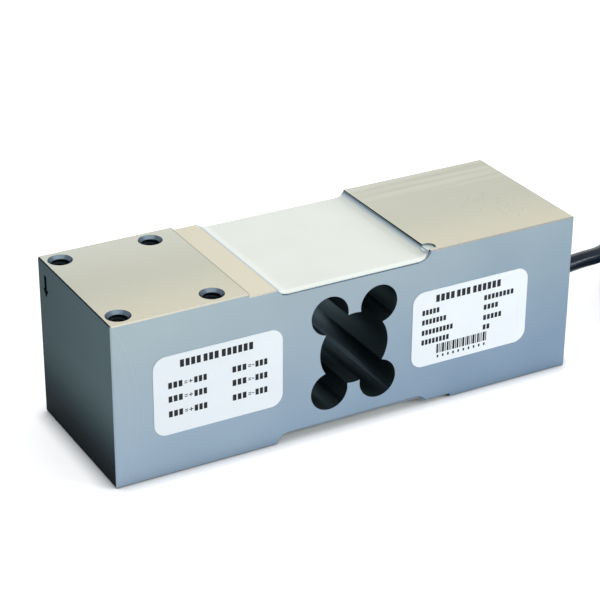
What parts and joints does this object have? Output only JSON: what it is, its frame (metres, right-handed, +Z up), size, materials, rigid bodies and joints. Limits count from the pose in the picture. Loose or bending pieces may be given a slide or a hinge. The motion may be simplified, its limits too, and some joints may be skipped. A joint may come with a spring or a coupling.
{
  "type": "single point load cell",
  "caption": "Square aluminium bending beam with a clover-shaped aperture, potted gauge pockets, tapped mounting pads and a coiled cable.",
  "frame": {"origin": "centre of the beam's footprint, on the plane that it lies on", "axes": "+X along the beam from the top mounting pad to the end with the cable, +Y from the front face with the labels to the back, +Z up"},
  "size_m": [0.3327, 0.0945, 0.0635],
  "materials": {
    "machined_aluminium": "milled",
    "potting": "smooth",
    "gauge_foil": "smooth",
    "resistor_foil": "smooth",
    "strip_laminate": "smooth",
    "bare_copper": "drawn",
    "ribbon_insulation": "smooth",
    "board_laminate": "smooth",
    "chip_ceramic": "smooth",
    "braid": "braided",
    "cable_sheath": "glossy",
    "potting_resin": "smooth",
    "bush_rubber": "matt",
    "washer_steel": "turned",
    "nickelled_brass": "turned",
    "tie_nylon": "satin",
    "label_film": "satin",
    "core_green": "smooth",
    "core_red": "smooth",
    "core_blue": "smooth",
    "core_black": "smooth",
    "core_white": "smooth",
    "core_brown": "smooth"
  },
  "bodies": {
    "root": {"sensing_beam": "machined_aluminium", "top_potting": "potting", "bottom_potting": "potting", "strain_gauge_top_left": "gauge_foil", "strain_gauge_top_right": "gauge_foil", "strain_gauge_bottom_left": "gauge_foil", "strain_gauge_bottom_right": "gauge_foil", "span_resistor_left": "resistor_foil", "span_resistor_right": "resistor_foil", "terminal_strip_top": "strip_laminate", "gauge_leads_top": "bare_copper", "bridge_ribbon_top": "ribbon_insulation", "terminal_strip_bottom": "strip_laminate", "gauge_leads_bottom": "bare_copper", "bridge_ribbon_bottom": "ribbon_insulation", "span_resistor_leads": "bare_copper", "junction_board": "board_laminate", "trim_resistors": "chip_ceramic", "core_green": "core_green", "core_red": "core_red", "core_blue": "core_blue", "core_black": "core_black", "core_white": "core_white", "core_brown": "core_brown", "shield_braid": "braid", "cable_sheath_end": "cable_sheath", "passage_resin": "potting_resin", "gland_bush": "bush_rubber", "gland_washer": "washer_steel", "gland_screw": "nickelled_brass", "cable": "cable_sheath", "cable_coil": "cable_sheath", "coil_tie_back": "tie_nylon", "coil_tie_front": "tie_nylon", "end_lead_green": "core_green", "end_lead_red": "core_red", "end_lead_blue": "core_blue", "end_lead_black": "core_black", "end_lead_white": "core_white", "end_lead_brown": "core_brown", "end_drain": "braid", "wiring_label": "label_film", "rating_label": "label_film"}
  },
  "joints": []
}
